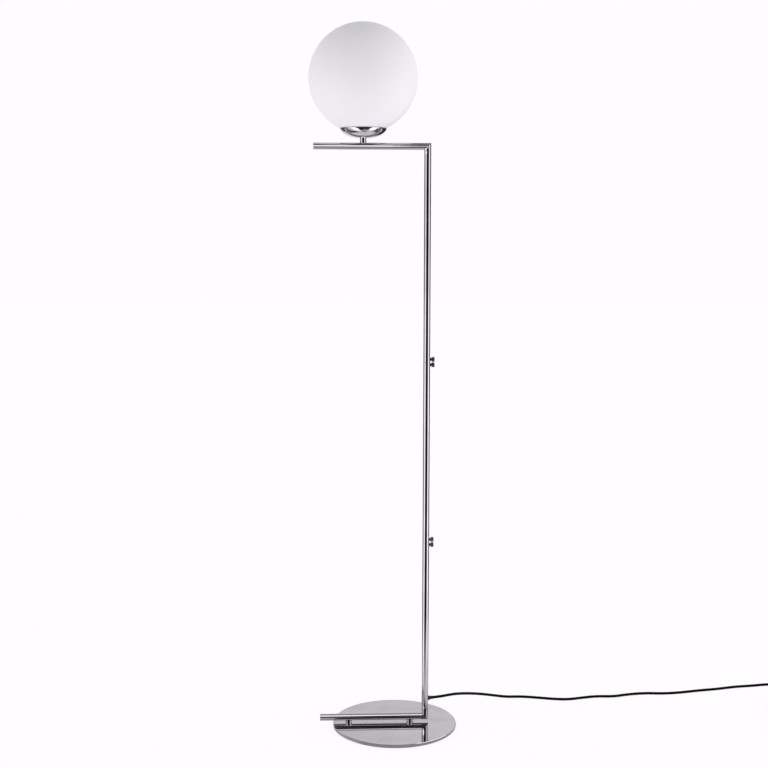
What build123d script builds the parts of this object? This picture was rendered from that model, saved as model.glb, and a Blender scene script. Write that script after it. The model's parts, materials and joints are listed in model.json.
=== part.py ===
from build123d import *
import os
from math import cos, pi, radians, sin, sqrt, tan

# Globe floor lamp. Millimetres, +Z up. The origin is the centre of the round base, on the
# floor. The bar and the arm point to -X, the post stands at +X, and the front faces -Y.

# ------------------------------------------------------------------ driving dimensions
# Whole lamp
total_height = 1350.0
post_offset = 60.0  # from the centre of the base to the axis of the post
globe_offset = 61.0  # from the centre of the base to the axis of the globe, the other way

# Base
base_diameter = 241.0
base_thickness = 6.0
base_chamfer = 0.8
pad_thickness = 1.5
pad_inset = 3.5
pad_hole_margin = 1.5
spacer_height = 4.0
spacer_diameter = 12.5
saddle_height = 1.6  # how far a spacer or the stem reaches round the tube that it meets
left_spacer_offset = 90.0
right_spacer_offset = 30.0
base_screw_diameter = 5.0
base_screw_head_diameter = 9.6
base_screw_length = 15.0
base_screw_clearance = 0.25
bush_diameter = 7.0
bush_length = 5.5

# Tubes
tube_diameter = 13.0
tube_wall = 1.5
tube_end_chamfer = 0.3
bar_reach = 146.0  # from the centre of the base to the free end of the lower bar
arm_reach = 154.0  # from the centre of the base to the free end of the upper arm
end_plug_depth = 6.0

# Joints of the post
lower_joint_height = 367.5
upper_joint_height = 718.0
sleeve_length = 64.0
sleeve_wall = 1.9
slide_clearance = 0.05  # radial, between a sleeve and the tube around it
groove_depth = 0.8
groove_width = 4.6

# Thumbscrews
thumbscrew_distance = 5.25  # from the joint line to the axis of each screw
thumbscrew_diameter = 4.0
thumbscrew_reach = 8.3  # from the surface of the post to the end of the head
thumb_tip_diameter = 3.0
thumb_neck_diameter = 7.2
thumb_flare_length = 1.2
thumb_head_diameter = 9.4
thumb_head_length = 4.6
thumb_edge = 0.5
knurl_count = 20
knurl_radius = 0.55
washer_diameter = 7.6
washer_thickness = 0.8
washer_bore_clearance = 0.2
face_clearance = 0.08  # between a washer or gasket and the faces beside it
thread_clearance = 0.05  # radial, between a screw and the hole that it runs in
seat_clearance = 0.3  # between curved faces that meet when a joint is closed

# Globe
globe_diameter = 203.0
globe_wall = 3.0
neck_diameter = 64.0
neck_wall = 3.0

# Cup, stem and gallery
cup_diameter = 87.6
cup_depth = 18.4
cup_wall = 1.0
cup_rim_round = 0.4
cup_seat_radius = 8.0
cup_curve = 1.75  # exponent of the bowl's outline: 2 is an ellipse, and less is flatter
cup_curve_steps = 8
cup_rim_gap = 0.36  # straight down, between the glass and the inner edge of the cup
stem_height = 7.7
stem_diameter = 12.0
nipple_diameter = 8.0
nipple_wall = 1.2
nipple_stub = 3.0  # what stands in the lampholder above the gallery
nipple_start = 4.5  # its lower end above the axis of the arm
cup_nut_diameter = 15.0
gallery_wall = 1.5
gallery_floor = 1.2
gallery_chamfer = 1.0
gallery_rise = 0.2  # clearance between the gallery and the cup
neck_rise = 0.6  # clearance between the glass neck and the gallery's floor
gasket_thickness = 0.8

# Lampholder and bulb
holder_diameter = 27.0
holder_wall = 2.0
holder_base_height = 7.0
holder_body_height = 30.0
ledge_height = 7.0  # top of the ledge above the bottom of the holder's body
ledge_thickness = 2.0
shell_bore = 14.4
shell_wall = 0.5
shell_height = 18.0
shell_flange = 1.6
contact_diameter = 6.0
contact_thickness = 0.6
contact_rise = 0.9  # underside of the contact above the ledge
contact_pin_diameter = 2.4
contact_pin_length = 7.0
contact_clearance = 0.1
bulb_diameter = 45.0
bulb_length = 78.0
bulb_wall = 1.0
bulb_neck_diameter = 20.0
bulb_shoulder = 6.0  # from the cap up to the full width of the neck
bulb_cap_diameter = 13.9
bulb_cap_height = 18.0
bulb_cap_wall = 0.8
bulb_insulator_diameter = 12.0
bulb_insulator_height = 2.0
bulb_tip_diameter = 4.8
bulb_tip_height = 1.2

# Lead inside the lamp
lead_diameter = 3.0
lead_entry_radius = 3.2
lead_corner_radius = 8.0
lead_stem_radius = 5.0

# Cord and its grommet
cord_diameter = 5.4
cord_exit_height = 54.0
cord_exit_angle = 15.0  # the cord leaves the post to the side and a little to the back
cord_exit_straight = 14.0
grommet_flange_diameter = 10.0
grommet_cone_length = 3.6
grommet_neck_diameter = 7.0
grommet_sleeve_length = 7.0
grommet_tip_diameter = 6.0
grommet_shank_diameter = 6.4
grommet_inside = 1.6  # how far the shank stands into the tube's bore

# Foot switch, whose length lies along Y
switch_x = 860.0
switch_y = 87.0
switch_length = 62.0
switch_width = 34.0
switch_corner = 14.0
switch_wall = 2.0
switch_base_height = 8.0
switch_cover_height = 11.0
switch_edge = 3.0
button_diameter = 20.0
button_clearance = 0.25
button_height = 4.0  # above the cover
button_travel = 3.0
button_flange = 1.6
button_flange_thickness = 1.6
button_wall = 1.8
button_roof = 2.5
button_edge = 1.2
carrier_length = 26.0
carrier_width = 18.0
carrier_height = 3.0
spring_diameter = 10.0
spring_wire = 0.9
spring_turns = 3.5
boss_x = 9.0
boss_y = 20.0
boss_diameter = 6.4
case_screw_diameter = 2.6
case_screw_head_diameter = 5.0
case_screw_head_height = 1.6
case_screw_grip = 6.0  # length in the cover
case_screw_recess = 0.2

# Strain reliefs on the switch and the plug
boot_length = 24.0
boot_root_diameter = 9.0
boot_tip_diameter = 6.4
boot_ribs = 5
boot_rib_depth = 0.45
boot_collar = 0.8
boot_collar_length = 2.0

# Coil and plug
coil_y = -30.0
coil_mean_diameter = 54.0
coil_columns = 3  # odd, with the middle one on the mean diameter
coil_layers = 2
coil_slack = 0.2  # room round the turns
coil_edge = 2.0
coil_lead_in = 26.0  # straight start of the coil, from its widest point
coil_lead_out = 34.0  # straight end of the coil, from its widest point to the plug
plug_width = 35.3
plug_thickness = 13.7
plug_length = 33.0
plug_tail_width = 14.0
plug_shoulder = 16.0  # length of the part that widens
plug_edge = 2.0
plug_corner = 6.0
pin_diameter = 4.0
pin_length = 19.0
pin_spacing = 19.0
pin_root = 6.0
pin_round = 1.4

# ------------------------------------------------------------------ places worked out from them
tube_radius = tube_diameter / 2
bore_radius = tube_radius - tube_wall
plate_top = pad_thickness + base_thickness
bar_underside = plate_top + spacer_height
bar_height = bar_underside + tube_radius
post_surface = post_offset + tube_radius
spacer_places = [(-left_spacer_offset, 0), (right_spacer_offset, 0)]

globe_radius = globe_diameter / 2
globe_centre = total_height - globe_radius
cup_radius = cup_diameter / 2
cup_inner_radius = cup_radius - cup_wall
rim_height = globe_centre - sqrt(globe_radius**2 - cup_inner_radius**2) - cup_rim_gap
cup_bottom = rim_height - cup_depth
arm_top = cup_bottom - stem_height
arm_height = arm_top - tube_radius

neck_radius = neck_diameter / 2
gallery_inner_radius = neck_radius + seat_clearance
gallery_radius = gallery_inner_radius + gallery_wall
gallery_share = (gallery_radius - cup_seat_radius) / (cup_inner_radius - cup_seat_radius)
gallery_drop = (cup_depth - cup_wall) * (1 - gallery_share**cup_curve) ** (1 / cup_curve)
gallery_bottom = rim_height - gallery_drop + gallery_rise
holder_bottom = gallery_bottom + gallery_floor
glass_above_gallery = globe_centre - sqrt(globe_radius**2 - gallery_inner_radius**2)
gasket_top = glass_above_gallery - seat_clearance / 2
gasket_bottom = gasket_top - gasket_thickness
gallery_top = gasket_bottom - face_clearance
neck_bottom = holder_bottom + neck_rise

nipple_radius = nipple_diameter / 2
nipple_hole_radius = nipple_radius + thread_clearance
nipple_bottom = arm_height + nipple_start
nipple_top = holder_bottom + nipple_stub

body_bottom = holder_bottom + holder_base_height
ledge_top = body_bottom + ledge_height
contact_bottom = ledge_top + contact_rise
contact_top = contact_bottom + contact_thickness
bulb_bottom = contact_top + contact_clearance
insulator_bottom = bulb_bottom + bulb_tip_height
cap_bottom = insulator_bottom + bulb_insulator_height
cap_top = cap_bottom + bulb_cap_height
bulb_radius = bulb_diameter / 2
bulb_centre = bulb_bottom + bulb_length - bulb_radius

sleeve_radius = bore_radius - slide_clearance
groove_radius = sleeve_radius - groove_depth
thumbscrew_hole_radius = thumbscrew_diameter / 2 + thread_clearance

cord_radius = cord_diameter / 2
cord_exit_reach = tube_radius + grommet_cone_length + grommet_sleeve_length
exit_direction = (cos(radians(cord_exit_angle)), sin(radians(cord_exit_angle)), 0)
exit_centre = Vector(post_offset, 0, cord_exit_height)
switch_top = switch_base_height + switch_cover_height
switch_front = switch_y - switch_length / 2
switch_back = switch_y + switch_length / 2
boot_radius = boot_root_diameter / 2
coil_radius = coil_mean_diameter / 2
coil_width = coil_columns * cord_diameter + 2 * coil_slack
coil_height = coil_layers * cord_diameter + coil_slack
coil_end_radius = cord_radius - coil_slack  # the straight ends stay off the coil's own faces
coil_lead_radius = coil_radius + cord_diameter * (coil_columns - 1) / 2
coil_x = switch_x - coil_lead_radius
plug_x = coil_x - coil_lead_radius
plug_axis_height = plug_thickness / 2
plug_boot_tip = coil_y + coil_lead_out
plug_back = plug_boot_tip + boot_length
plug_face = plug_back + plug_length

lower_mitre = Plane(origin=(post_offset, 0, bar_height), z_dir=(1, 0, 1))
upper_mitre = Plane(origin=(post_offset, 0, arm_height), z_dir=(1, 0, -1))
bar_end = Plane(origin=(-bar_reach, 0, bar_height), z_dir=(1, 0, 0))
arm_end = Plane(origin=(-arm_reach, 0, arm_height), z_dir=(1, 0, 0))
globe_axis = Axis((-globe_offset, 0, 0), (0, 0, 1))
globe_section = Plane(origin=(-globe_offset, 0, 0), x_dir=(1, 0, 0), z_dir=(0, -1, 0))

os.makedirs("parts", exist_ok=True)


def post_level(height):
    """A level plane centred on the axis of the post."""
    return Plane.XY.offset(height).shift_origin((post_offset, 0, height))


def globe_level(height):
    """A level plane centred on the axis of the globe."""
    return Plane.XY.offset(height).shift_origin((-globe_offset, 0, height))


def side_of_post(height, direction=(1, 0, 0)):
    """An upright plane through the axis of the post, centred at a height."""
    return Plane(origin=(post_offset, 0, height), z_dir=direction)


def along_exit(distance):
    """The point on the axis of the cord's exit at a distance from the axis of the post."""
    return exit_centre + Vector(*exit_direction) * distance


with BuildSketch() as tube_section:
    Circle(tube_radius)
    Circle(bore_radius, mode=Mode.SUBTRACT)

# ------------------------------------------------------------------ base
with BuildPart() as base_pad:
    with BuildSketch():
        Circle(base_diameter / 2 - pad_inset)
        with Locations(*spacer_places):
            Circle(base_screw_head_diameter / 2 + pad_hole_margin, mode=Mode.SUBTRACT)
    extrude(amount=pad_thickness)
base_pad.part.label = "base_pad"
export_step(base_pad.part, "parts/base_pad.step")

with BuildPart() as base_plate:
    with BuildSketch(Plane.XY.offset(pad_thickness)):
        Circle(base_diameter / 2)
    extrude(amount=base_thickness)
    chamfer(base_plate.edges(), length=base_chamfer)
    with Locations(Plane(origin=(0, 0, pad_thickness), x_dir=(1, 0, 0), z_dir=(0, 0, -1))):
        with Locations(*spacer_places):
            CounterSinkHole(
                base_screw_diameter / 2 + base_screw_clearance,
                base_screw_head_diameter / 2 + base_screw_clearance,
                counter_sink_angle=90,
            )
base_plate.part.label = "base_plate"
export_step(base_plate.part, "parts/base_plate.step")

with BuildPart() as base_screws:
    for x, y in spacer_places:
        with BuildSketch(Plane(origin=(x, y, pad_thickness), x_dir=(1, 0, 0), z_dir=(0, -1, 0))):
            with BuildLine():
                head_height = (base_screw_head_diameter - base_screw_diameter) / 2
                Polyline(
                    (0, 0),
                    (base_screw_head_diameter / 2, 0),
                    (base_screw_diameter / 2, head_height),
                    (base_screw_diameter / 2, base_screw_length),
                    (0, base_screw_length),
                    close=True,
                )
            make_face()
        revolve(axis=Axis((x, y, 0), (0, 0, 1)))
base_screws.part.label = "base_screws"
export_step(base_screws.part, "parts/base_screws.step")

for side, (x, y) in zip(("left", "right"), spacer_places):
    with BuildPart() as bar_spacer:
        with BuildSketch(Plane.XY.offset(plate_top).shift_origin((x, y, plate_top))):
            Circle(spacer_diameter / 2)
            Circle(base_screw_diameter / 2 + base_screw_clearance, mode=Mode.SUBTRACT)
        extrude(amount=spacer_height + saddle_height)
        with BuildSketch(bar_end):
            Circle(tube_radius)
        extrude(amount=bar_reach + post_offset, mode=Mode.SUBTRACT)
    bar_spacer.part.label = f"{side}_spacer"
    export_step(bar_spacer.part, f"parts/{side}_spacer.step")

with BuildPart() as bar_bushes:
    with BuildSketch(Plane.XY.offset(bar_underside)):
        with Locations(*spacer_places):
            Circle(bush_diameter / 2)
            Circle(base_screw_diameter / 2 + thread_clearance, mode=Mode.SUBTRACT)
    extrude(amount=bush_length)
    with BuildSketch(bar_end):
        Circle(tube_radius)
    extrude(amount=bar_reach + post_offset, mode=Mode.INTERSECT)
bar_bushes.part.label = "bar_bushes"
export_step(bar_bushes.part, "parts/bar_bushes.step")

with BuildPart() as lower_bar:
    with BuildSketch(bar_end):
        add(tube_section.sketch)
    extrude(amount=bar_reach + post_offset + tube_radius)
    chamfer(lower_bar.edges().group_by(Axis.X)[0].sort_by(SortBy.LENGTH)[-1], tube_end_chamfer)
    split(bisect_by=lower_mitre, keep=Keep.BOTTOM)
    with BuildSketch(Plane.XY.offset(bar_underside)):
        with Locations(*spacer_places):
            Circle(bush_diameter / 2)
    extrude(amount=tube_radius, mode=Mode.SUBTRACT)
lower_bar.part.label = "lower_bar"
export_step(lower_bar.part, "parts/lower_bar.step")

for name, plane in (("bar_end_plug", bar_end), ("arm_end_plug", arm_end)):
    with BuildPart() as end_plug:
        with BuildSketch(plane):
            Circle(bore_radius)
        extrude(amount=end_plug_depth)
    end_plug.part.label = name
    export_step(end_plug.part, f"parts/{name}.step")

# ------------------------------------------------------------------ post and arm
with BuildPart() as lower_post:
    with BuildSketch(post_level(bar_underside)):
        add(tube_section.sketch)
    extrude(amount=lower_joint_height - bar_underside)
    chamfer(lower_post.edges().group_by(Axis.Z)[-1].sort_by(SortBy.LENGTH)[-1], tube_end_chamfer)
    split(bisect_by=lower_mitre, keep=Keep.TOP)
    with BuildSketch(side_of_post(lower_joint_height - thumbscrew_distance)):
        Circle(thumbscrew_hole_radius)
    extrude(amount=tube_diameter, mode=Mode.SUBTRACT)
    with BuildSketch(side_of_post(cord_exit_height, exit_direction)):
        Circle(grommet_shank_diameter / 2)
    extrude(amount=tube_diameter, mode=Mode.SUBTRACT)
lower_post.part.label = "lower_post"
export_step(lower_post.part, "parts/lower_post.step")

with BuildPart() as middle_post:
    with BuildSketch(post_level(lower_joint_height)):
        add(tube_section.sketch)
    extrude(amount=upper_joint_height - lower_joint_height)
    for end in (0, -1):
        rim = middle_post.edges().group_by(Axis.Z)[end].sort_by(SortBy.LENGTH)[-1]
        chamfer(rim, tube_end_chamfer)
    with BuildSketch(side_of_post(lower_joint_height + thumbscrew_distance)):
        Circle(thumbscrew_hole_radius)
    extrude(amount=tube_diameter, mode=Mode.SUBTRACT)
    with BuildSketch(side_of_post(upper_joint_height - thumbscrew_distance)):
        Circle(thumbscrew_hole_radius)
    extrude(amount=tube_diameter, mode=Mode.SUBTRACT)
middle_post.part.label = "middle_post"
export_step(middle_post.part, "parts/middle_post.step")

with BuildPart() as upper_post:
    with BuildSketch(post_level(upper_joint_height)):
        add(tube_section.sketch)
    extrude(amount=arm_top - upper_joint_height)
    chamfer(upper_post.edges().group_by(Axis.Z)[0].sort_by(SortBy.LENGTH)[-1], tube_end_chamfer)
    split(bisect_by=upper_mitre, keep=Keep.TOP)
    with BuildSketch(side_of_post(upper_joint_height + thumbscrew_distance)):
        Circle(thumbscrew_hole_radius)
    extrude(amount=tube_diameter, mode=Mode.SUBTRACT)
upper_post.part.label = "upper_post"
export_step(upper_post.part, "parts/upper_post.step")

with BuildPart() as upper_arm:
    with BuildSketch(arm_end):
        add(tube_section.sketch)
    extrude(amount=arm_reach + post_offset + tube_radius)
    chamfer(upper_arm.edges().group_by(Axis.X)[0].sort_by(SortBy.LENGTH)[-1], tube_end_chamfer)
    split(bisect_by=upper_mitre, keep=Keep.BOTTOM)
    with BuildSketch(globe_level(arm_height)):
        Circle(nipple_hole_radius)
    extrude(amount=tube_diameter, mode=Mode.SUBTRACT)
upper_arm.part.label = "upper_arm"
export_step(upper_arm.part, "parts/upper_arm.step")

for name, joint_height in (("lower", lower_joint_height), ("upper", upper_joint_height)):
    with BuildPart() as joint_sleeve:
        with BuildSketch(post_level(joint_height - sleeve_length / 2)):
            Circle(sleeve_radius)
            Circle(sleeve_radius - sleeve_wall, mode=Mode.SUBTRACT)
        extrude(amount=sleeve_length)
        for offset_from_joint in (-thumbscrew_distance, thumbscrew_distance):
            groove_bottom = joint_height + offset_from_joint - groove_width / 2
            with BuildSketch(post_level(groove_bottom)):
                Circle(tube_radius)
                Circle(groove_radius, mode=Mode.SUBTRACT)
            extrude(amount=groove_width, mode=Mode.SUBTRACT)
    joint_sleeve.part.label = f"{name}_sleeve"
    export_step(joint_sleeve.part, f"parts/{name}_sleeve.step")


# ------------------------------------------------------------------ thumbscrews
washer_start = post_surface + face_clearance
neck_start = washer_start + washer_thickness + face_clearance
head_end = post_surface + thumbscrew_reach
head_start = head_end - thumb_head_length
thumbscrew_heights = {
    "low_joint_bottom": lower_joint_height - thumbscrew_distance,
    "low_joint_top": lower_joint_height + thumbscrew_distance,
    "high_joint_bottom": upper_joint_height - thumbscrew_distance,
    "high_joint_top": upper_joint_height + thumbscrew_distance,
}

for place, height in thumbscrew_heights.items():
    screw_axis = Axis((0, 0, height), (1, 0, 0))
    with BuildPart() as thumbscrew:
        with BuildSketch(Plane(origin=(0, 0, height), x_dir=(1, 0, 0), z_dir=(0, -1, 0))):
            with BuildLine():
                Polyline(
                    (post_offset + groove_radius + seat_clearance, 0),
                    (post_offset + groove_radius + seat_clearance, thumb_tip_diameter / 2),
                    (post_offset + sleeve_radius, thumb_tip_diameter / 2),
                    (post_offset + sleeve_radius, thumbscrew_diameter / 2),
                    (neck_start, thumbscrew_diameter / 2),
                    (neck_start, thumb_neck_diameter / 2),
                    (head_start - thumb_flare_length, thumb_neck_diameter / 2),
                    (head_start, thumb_head_diameter / 2),
                    (head_end - thumb_edge, thumb_head_diameter / 2),
                    (head_end, thumb_head_diameter / 2 - thumb_edge),
                    (head_end, 0),
                    close=True,
                )
            make_face()
        revolve(axis=screw_axis)
        with BuildSketch(Plane(origin=(head_end, 0, height), z_dir=(1, 0, 0))):
            with PolarLocations(thumb_head_diameter / 2, knurl_count):
                Circle(knurl_radius)
        extrude(amount=-(thumb_head_length + thumb_flare_length), mode=Mode.SUBTRACT)
    thumbscrew.part.label = f"{place}_thumbscrew"
    export_step(thumbscrew.part, f"parts/{place}_thumbscrew.step")

    with BuildPart() as washer:
        with BuildSketch(Plane(origin=(washer_start, 0, height), z_dir=(1, 0, 0))):
            Circle(washer_diameter / 2)
            Circle(thumbscrew_diameter / 2 + washer_bore_clearance, mode=Mode.SUBTRACT)
        extrude(amount=washer_thickness)
    washer.part.label = f"{place}_washer"
    export_step(washer.part, f"parts/{place}_washer.step")

# ------------------------------------------------------------------ stem, cup and gallery
with BuildPart() as stem:
    with BuildSketch(globe_level(arm_top - saddle_height / 2)):
        Circle(stem_diameter / 2)
        Circle(nipple_hole_radius, mode=Mode.SUBTRACT)
    extrude(amount=stem_height + saddle_height / 2)
    with BuildSketch(arm_end):
        Circle(tube_radius)
    extrude(amount=arm_reach + post_offset, mode=Mode.SUBTRACT)
stem.part.label = "stem"
export_step(stem.part, "parts/stem.step")

with BuildPart() as nipple:
    with BuildSketch(globe_level(nipple_bottom)):
        Circle(nipple_radius)
        Circle(nipple_radius - nipple_wall, mode=Mode.SUBTRACT)
    extrude(amount=nipple_top - nipple_bottom)
nipple.part.label = "nipple"
export_step(nipple.part, "parts/nipple.step")

def bowl_outline(radius, depth):
    """Points along the cup's outline, from the edge of its flat seat up to its rim."""
    points = []
    for step in range(cup_curve_steps + 1):
        angle = pi / 2 * step / cup_curve_steps
        out = sin(angle) ** (2 / cup_curve)
        down = cos(angle) ** (2 / cup_curve)
        points.append(
            (cup_seat_radius + (radius - cup_seat_radius) * out, rim_height - depth * down)
        )
    return points


with BuildPart() as cup:
    with BuildSketch(globe_section):
        with BuildLine():
            Spline(*bowl_outline(cup_radius, cup_depth), tangents=[(1, 0), (0, 1)])
            Line((cup_radius, rim_height), (cup_inner_radius, rim_height))
            Spline(
                *bowl_outline(cup_inner_radius, cup_depth - cup_wall), tangents=[(1, 0), (0, 1)]
            )
            Polyline(
                (cup_seat_radius, cup_bottom + cup_wall),
                (nipple_hole_radius, cup_bottom + cup_wall),
                (nipple_hole_radius, cup_bottom),
                (cup_seat_radius, cup_bottom),
            )
        make_face()
    revolve(axis=globe_axis)
    fillet(cup.edges().group_by(Axis.Z)[-1], radius=cup_rim_round)
cup.part.label = "cup"
export_step(cup.part, "parts/cup.step")

with BuildPart() as cup_nut:
    with BuildSketch(globe_level(cup_bottom + cup_wall)):
        RegularPolygon(cup_nut_diameter / 2, side_count=6)
        Circle(nipple_hole_radius, mode=Mode.SUBTRACT)
    extrude(amount=gallery_bottom - cup_bottom - cup_wall)
cup_nut.part.label = "cup_nut"
export_step(cup_nut.part, "parts/cup_nut.step")

with BuildPart() as gallery:
    with BuildSketch(globe_section):
        with BuildLine():
            Polyline(
                (nipple_hole_radius, gallery_bottom),
                (gallery_radius - gallery_chamfer, gallery_bottom),
                (gallery_radius, gallery_bottom + gallery_chamfer),
                (gallery_radius, gallery_top),
                (gallery_inner_radius, gallery_top),
                (gallery_inner_radius, holder_bottom),
                (nipple_hole_radius, holder_bottom),
                close=True,
            )
        make_face()
    revolve(axis=globe_axis)
gallery.part.label = "gallery"
export_step(gallery.part, "parts/gallery.step")

with BuildPart() as globe_gasket:
    with BuildSketch(globe_level(gasket_bottom)):
        Circle(gallery_radius)
        Circle(gallery_inner_radius, mode=Mode.SUBTRACT)
    extrude(amount=gasket_thickness)
globe_gasket.part.label = "globe_gasket"
export_step(globe_gasket.part, "parts/globe_gasket.step")

# ------------------------------------------------------------------ globe
neck_inner_radius = neck_radius - neck_wall
glass_inner_radius = globe_radius - globe_wall
neck_joins_outside = globe_centre - sqrt(globe_radius**2 - neck_radius**2)
neck_joins_inside = globe_centre - sqrt(glass_inner_radius**2 - neck_inner_radius**2)

with BuildPart() as globe:
    with BuildSketch(globe_section):
        with BuildLine():
            ThreePointArc(
                (0, total_height), (globe_radius, globe_centre), (neck_radius, neck_joins_outside)
            )
            Polyline(
                (neck_radius, neck_joins_outside),
                (neck_radius, neck_bottom),
                (neck_inner_radius, neck_bottom),
                (neck_inner_radius, neck_joins_inside),
            )
            ThreePointArc(
                (neck_inner_radius, neck_joins_inside),
                (glass_inner_radius, globe_centre),
                (0, total_height - globe_wall),
            )
            Line((0, total_height - globe_wall), (0, total_height))
        make_face()
    revolve(axis=globe_axis)
globe.part.label = "globe"
export_step(globe.part, "parts/globe.step")

# ------------------------------------------------------------------ lampholder
holder_radius = holder_diameter / 2
holder_inner_radius = holder_radius - holder_wall
ledge_bore_radius = contact_pin_diameter / 2 + contact_clearance

with BuildPart() as holder_base:
    with BuildSketch(globe_level(holder_bottom)):
        Circle(holder_radius)
        Circle(nipple_hole_radius, mode=Mode.SUBTRACT)
    extrude(amount=nipple_stub)
    with BuildSketch(globe_level(holder_bottom + nipple_stub)):
        Circle(holder_radius)
        Circle(holder_inner_radius, mode=Mode.SUBTRACT)
    extrude(amount=holder_base_height - nipple_stub)
holder_base.part.label = "holder_base"
export_step(holder_base.part, "parts/holder_base.step")

with BuildPart() as holder_body:
    with BuildSketch(globe_level(body_bottom)):
        Circle(holder_radius)
        Circle(holder_inner_radius, mode=Mode.SUBTRACT)
    extrude(amount=holder_body_height)
    with BuildSketch(globe_level(ledge_top)):
        Circle(holder_inner_radius)
        Circle(ledge_bore_radius, mode=Mode.SUBTRACT)
    extrude(amount=-ledge_thickness)
holder_body.part.label = "holder_body"
export_step(holder_body.part, "parts/holder_body.step")

with BuildPart() as screw_shell:
    with BuildSketch(globe_level(ledge_top)):
        Circle(shell_bore / 2 + shell_wall)
        Circle(shell_bore / 2, mode=Mode.SUBTRACT)
    extrude(amount=shell_height)
    with BuildSketch(globe_level(ledge_top)):
        Circle(shell_bore / 2 + shell_wall + shell_flange)
        Circle(shell_bore / 2, mode=Mode.SUBTRACT)
    extrude(amount=shell_wall)
screw_shell.part.label = "screw_shell"
export_step(screw_shell.part, "parts/screw_shell.step")

with BuildPart() as centre_contact:
    with BuildSketch(globe_level(contact_bottom)):
        Circle(contact_diameter / 2)
    extrude(amount=contact_thickness)
    with BuildSketch(globe_level(contact_bottom)):
        Circle(contact_pin_diameter / 2)
    extrude(amount=-contact_pin_length)
centre_contact.part.label = "centre_contact"
export_step(centre_contact.part, "parts/centre_contact.step")

# ------------------------------------------------------------------ bulb
with BuildPart() as bulb_tip:
    with BuildSketch(globe_level(bulb_bottom)):
        Circle(bulb_tip_diameter / 2)
    extrude(amount=bulb_tip_height)
    fillet(bulb_tip.edges().group_by(Axis.Z)[0], radius=bulb_tip_height / 2)
bulb_tip.part.label = "bulb_tip"
export_step(bulb_tip.part, "parts/bulb_tip.step")

with BuildPart() as bulb_insulator:
    with BuildSketch(globe_level(insulator_bottom)):
        Circle(bulb_tip_diameter / 2)
    with BuildSketch(globe_level(cap_bottom)):
        Circle(bulb_insulator_diameter / 2)
    loft()
bulb_insulator.part.label = "bulb_insulator"
export_step(bulb_insulator.part, "parts/bulb_insulator.step")

with BuildPart() as bulb_cap:
    with BuildSketch(globe_level(cap_bottom)):
        Circle(bulb_cap_diameter / 2)
        Circle(bulb_cap_diameter / 2 - bulb_cap_wall, mode=Mode.SUBTRACT)
    extrude(amount=bulb_cap_height)
bulb_cap.part.label = "bulb_cap"
export_step(bulb_cap.part, "parts/bulb_cap.step")

bulb_root_radius = bulb_cap_diameter / 2 - bulb_cap_wall
bulb_neck_radius = bulb_neck_diameter / 2
bulb_joins_neck = bulb_centre - sqrt(bulb_radius**2 - bulb_neck_radius**2)
bulb_hollow_radius = bulb_radius - bulb_wall
bulb_hollow_neck = bulb_root_radius - bulb_wall
bulb_hollow_join = bulb_centre - sqrt(bulb_hollow_radius**2 - bulb_hollow_neck**2)

with BuildPart() as bulb_glass:
    with BuildSketch(globe_section):
        with BuildLine():
            ThreePointArc(
                (0, bulb_centre + bulb_radius),
                (bulb_radius, bulb_centre),
                (bulb_neck_radius, bulb_joins_neck),
            )
            Polyline(
                (bulb_neck_radius, bulb_joins_neck),
                (bulb_neck_radius, cap_top + bulb_shoulder),
                (bulb_root_radius, cap_top),
                (bulb_root_radius, cap_bottom),
                (bulb_hollow_neck, cap_bottom),
                (bulb_hollow_neck, bulb_hollow_join),
            )
            ThreePointArc(
                (bulb_hollow_neck, bulb_hollow_join),
                (bulb_hollow_radius, bulb_centre),
                (0, bulb_centre + bulb_hollow_radius),
            )
            Line((0, bulb_centre + bulb_hollow_radius), (0, bulb_centre + bulb_radius))
        make_face()
    revolve(axis=globe_axis)
bulb_glass.part.label = "bulb_glass"
export_step(bulb_glass.part, "parts/bulb_glass.step")

# ------------------------------------------------------------------ lead inside the lamp
grommet_start = bore_radius - grommet_inside  # from the axis of the post

with BuildPart() as lower_lead:
    with BuildLine() as lower_lead_path:
        FilletPolyline(
            along_exit(grommet_start),
            exit_centre,
            (post_offset, 0, lower_joint_height),
            radius=lead_entry_radius,
        )
    with BuildSketch(Plane(origin=lower_lead_path.line @ 0, z_dir=lower_lead_path.line % 0)):
        Circle(lead_diameter / 2)
    sweep(path=lower_lead_path.line)
lower_lead.part.label = "lower_lead"
export_step(lower_lead.part, "parts/lower_lead.step")

with BuildPart() as middle_lead:
    with BuildSketch(post_level(lower_joint_height)):
        Circle(lead_diameter / 2)
    extrude(amount=upper_joint_height - lower_joint_height)
middle_lead.part.label = "middle_lead"
export_step(middle_lead.part, "parts/middle_lead.step")

with BuildPart() as upper_lead:
    with BuildLine() as upper_lead_path:
        FilletPolyline(
            (post_offset, 0, upper_joint_height),
            (post_offset, 0, arm_height),
            (-globe_offset, 0, arm_height),
            (-globe_offset, 0, nipple_top),
            radius=(lead_corner_radius, lead_stem_radius),
        )
    with BuildSketch(Plane(origin=upper_lead_path.line @ 0, z_dir=upper_lead_path.line % 0)):
        Circle(lead_diameter / 2)
    sweep(path=upper_lead_path.line)
upper_lead.part.label = "upper_lead"
export_step(upper_lead.part, "parts/upper_lead.step")

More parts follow.
